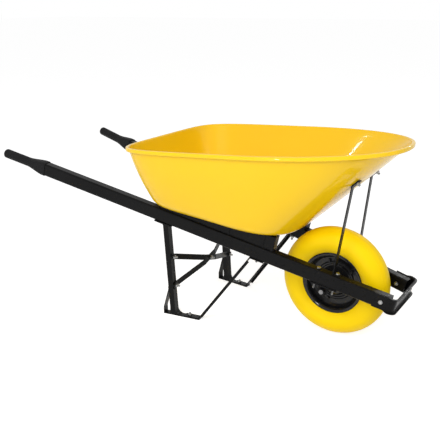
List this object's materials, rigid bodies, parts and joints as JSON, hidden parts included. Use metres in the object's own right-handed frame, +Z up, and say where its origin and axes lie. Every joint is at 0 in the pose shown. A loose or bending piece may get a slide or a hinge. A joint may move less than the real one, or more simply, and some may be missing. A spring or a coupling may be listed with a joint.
{
  "type": "wheelbarrow",
  "caption": "Single-wheel barrow with a deep pressed-steel tray, tubular steel handles with moulded grips, braced channel legs, a nose guard and a solid tyre.",
  "frame": {"origin": "on the ground, midway along the overall length and on the centre plane", "axes": "+X forward towards the wheel, +Y to the barrow's left, +Z up"},
  "size_m": [1.6138, 0.6364, 0.7156],
  "materials": {
    "tray_paint": "glossy yellow enamel on pressed steel",
    "frame_paint": "semi-gloss black powder coat",
    "rim_paint": "glossy black enamel",
    "tyre": "smooth satin yellow solid polyurethane",
    "grip": "matte black moulded",
    "zinc": "bright zinc-plated fasteners"
  },
  "bodies": {
    "frame": {"tray": "tray_paint", "handle_left": "frame_paint", "handle_right": "frame_paint", "riser_left": "frame_paint", "riser_right": "frame_paint", "leg_left": "frame_paint", "leg_right": "frame_paint", "strut_left": "frame_paint", "strut_right": "frame_paint", "leg_brace_a": "frame_paint", "leg_brace_b": "frame_paint", "nose_guard": "frame_paint", "tray_brace_left": "frame_paint", "tray_brace_right": "frame_paint", "axle_bracket_left": "frame_paint", "axle_bracket_right": "frame_paint", "axle_nuts": "frame_paint", "grip_left": "grip", "grip_right": "grip", "axle": "zinc", "axle_spacer_left": "zinc", "axle_spacer_right": "zinc", "axle_bolts": "zinc", "axle_bolt_nuts": "zinc", "tray_bolts": "zinc", "tray_nuts": "zinc", "leg_bolts": "zinc", "leg_nuts": "zinc", "foot_studs": "zinc", "foot_nuts": "zinc", "brace_bolts": "zinc", "brace_nuts": "zinc", "guard_bolts": "zinc", "guard_nuts": "zinc", "strap_bolts": "zinc", "strap_nuts": "zinc"},
    "wheel": {"tyre": "tyre", "rim_left": "rim_paint", "rim_right": "rim_paint", "hub": "rim_paint", "bearing_left": "zinc", "bearing_right": "zinc", "rim_bolts": "rim_paint", "rim_nuts": "rim_paint"}
  },
  "joints": [
    {"name": "wheel_spin", "type": "hinge", "parent": "frame", "child": "wheel", "pos_m": [0.5392, 0, 0.2], "axis": [0, 1, 0], "continuous": true}
  ]
}
